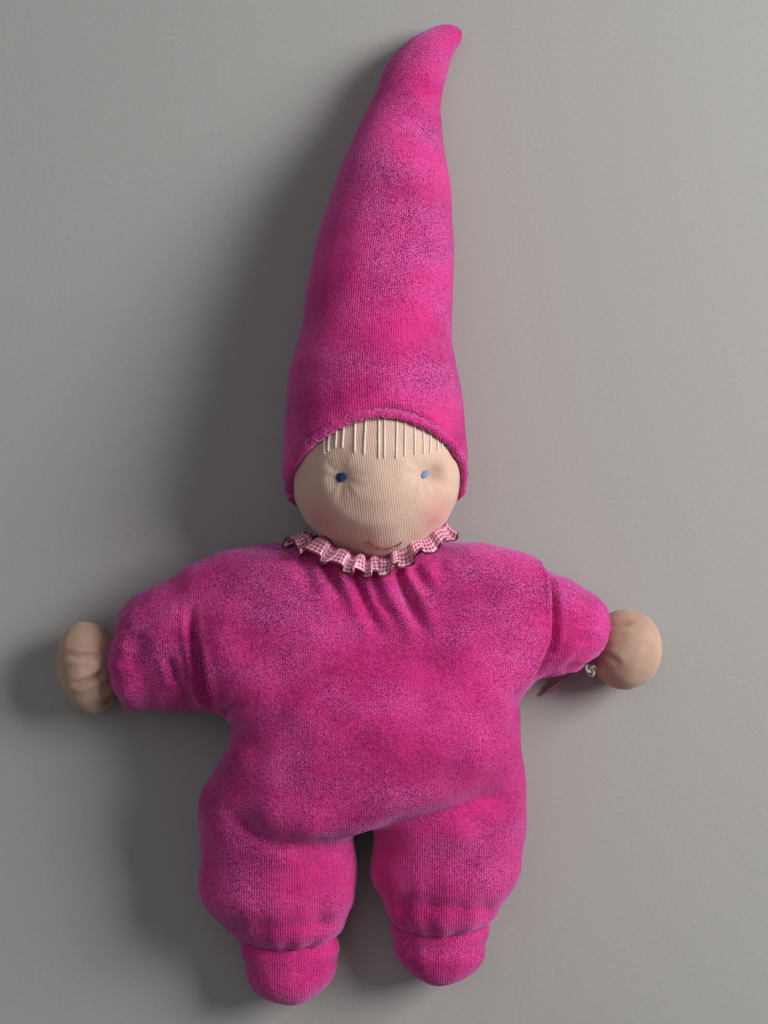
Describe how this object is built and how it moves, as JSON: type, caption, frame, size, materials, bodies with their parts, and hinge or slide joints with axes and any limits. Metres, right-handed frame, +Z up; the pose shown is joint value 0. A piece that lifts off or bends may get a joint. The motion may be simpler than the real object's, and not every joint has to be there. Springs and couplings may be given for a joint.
{
  "type": "soft cloth doll",
  "caption": "Soft stuffed cloth doll with a round jersey head, a tall pointed hat and a ribbon ruffle, lying on its back.",
  "frame": {"origin": "the middle of the torso's flat back, on the surface that the doll lies on", "axes": "+Z up out of the doll's front, +Y along the doll towards its head and hat, +X towards the doll's own left hand"},
  "size_m": [0.2156, 0.3512, 0.0617],
  "materials": {
    "pink_velour": "cotton velour with a short soft pile",
    "skin_jersey": "fine cotton jersey, matt",
    "wool_stuffing": "teased wool",
    "tying_thread": "strong twisted thread",
    "blue_thread": "stranded embroidery thread",
    "navy_thread": "stranded embroidery thread",
    "red_thread": "stranded embroidery thread",
    "cream_yarn": "soft matt yarn",
    "gingham_ribbon": "checked woven ribbon, slight sheen"
  },
  "bodies": {
    "torso": {"torso_cover": "pink_velour", "torso_stuffing": "wool_stuffing", "neck_tie": "tying_thread", "neck_ruffle": "gingham_ribbon"},
    "neck": {"neck_stub": "skin_jersey"},
    "head": {"head_skin": "skin_jersey", "head_core": "wool_stuffing", "hat_hood_cover": "pink_velour", "hat_hood_stuffing": "wool_stuffing", "hat_hem": "pink_velour", "left_eye": "blue_thread", "right_eye": "navy_thread", "mouth": "red_thread", "hair_strand_01": "cream_yarn", "hair_strand_02": "cream_yarn", "hair_strand_03": "cream_yarn", "hair_strand_04": "cream_yarn", "hair_strand_05": "cream_yarn", "hair_strand_06": "cream_yarn", "hair_strand_07": "cream_yarn", "hair_strand_08": "cream_yarn", "hair_strand_09": "cream_yarn", "hair_strand_10": "cream_yarn", "hair_strand_11": "cream_yarn", "hair_strand_12": "cream_yarn", "hair_strand_13": "cream_yarn", "hair_strand_14": "cream_yarn", "hair_strand_15": "cream_yarn", "hair_strand_16": "cream_yarn"},
    "hat": {"hat_cone_cover": "pink_velour", "hat_cone_stuffing": "wool_stuffing"},
    "hat_tip": {"hat_tip_cover": "pink_velour", "hat_tip_stuffing": "wool_stuffing"},
    "left_arm": {"left_sleeve_cover": "pink_velour", "left_sleeve_stuffing": "wool_stuffing", "left_wrist_tie": "tying_thread", "wrist_knot": "tying_thread", "wrist_tail": "tying_thread"},
    "right_arm": {"right_sleeve_cover": "pink_velour", "right_sleeve_stuffing": "wool_stuffing", "right_wrist_tie": "tying_thread"},
    "left_hand": {"left_hand_skin": "skin_jersey", "left_hand_stuffing": "wool_stuffing"},
    "right_hand": {"right_hand_skin": "skin_jersey", "right_hand_stuffing": "wool_stuffing"},
    "left_leg": {"left_leg_cover": "pink_velour", "left_leg_stuffing": "wool_stuffing", "left_ankle_tie": "tying_thread"},
    "right_leg": {"right_leg_cover": "pink_velour", "right_leg_stuffing": "wool_stuffing", "right_ankle_tie": "tying_thread"},
    "left_foot": {"left_bootie_cover": "pink_velour", "left_bootie_stuffing": "wool_stuffing"},
    "right_foot": {"right_bootie_cover": "pink_velour", "right_bootie_stuffing": "wool_stuffing"}
  },
  "joints": [
    {"name": "head_nod", "type": "hinge", "parent": "torso", "child": "neck", "pos_m": [0.001, 0.044, 0.0314], "axis": [1, 0, 0], "range_deg": [-20, 20], "deforming": ["neck_ruffle"]},
    {"name": "head_turn", "type": "hinge", "parent": "neck", "child": "head", "pos_m": [0.001, 0.044, 0.0314], "axis": [0, 1, 0], "range_deg": [-60, 60]},
    {"name": "hat_flop", "type": "hinge", "parent": "head", "child": "hat", "pos_m": [0.00059, 0.118, 0.02633], "axis": [1, 0, 0], "range_deg": [-20, 20]},
    {"name": "hat_tip_bend", "type": "hinge", "parent": "hat", "child": "hat_tip", "pos_m": [0.01227, 0.205, 0.01285], "axis": [0, 0, 1], "range_deg": [-25, 25]},
    {"name": "left_shoulder", "type": "hinge", "parent": "torso", "child": "left_arm", "pos_m": [0.0555, -0.004, 0.039], "axis": [-0.1115, -0.9938, 0], "range_deg": [-10, 85]},
    {"name": "right_shoulder", "type": "hinge", "parent": "torso", "child": "right_arm", "pos_m": [-0.0555, -0.004, 0.039], "axis": [-0.1115, 0.9938, 0], "range_deg": [-10, 85]},
    {"name": "left_wrist", "type": "hinge", "parent": "left_arm", "child": "left_hand", "pos_m": [0.077, 0.0175, 0.0155], "axis": [-0.3312, -0.9435, 0], "range_deg": [-20, 20]},
    {"name": "right_wrist", "type": "hinge", "parent": "right_arm", "child": "right_hand", "pos_m": [-0.088, 0.0085, 0.0145], "axis": [-0.1611, 0.9869, 0], "range_deg": [-20, 20]},
    {"name": "left_hip", "type": "hinge", "parent": "torso", "child": "left_leg", "pos_m": [0.026, -0.042, 0.042], "axis": [-1, 0, 0], "range_deg": [-10, 85]},
    {"name": "right_hip", "type": "hinge", "parent": "torso", "child": "right_leg", "pos_m": [-0.0333, -0.042, 0.042], "axis": [-1, 0, 0], "range_deg": [-10, 85]},
    {"name": "left_ankle", "type": "hinge", "parent": "left_leg", "child": "left_foot", "pos_m": [0.0245, -0.081, 0.014], "axis": [1, 0, 0], "range_deg": [-20, 20]},
    {"name": "right_ankle", "type": "hinge", "parent": "right_leg", "child": "right_foot", "pos_m": [-0.031, -0.088, 0.014], "axis": [1, 0, 0], "range_deg": [-20, 20]}
  ]
}
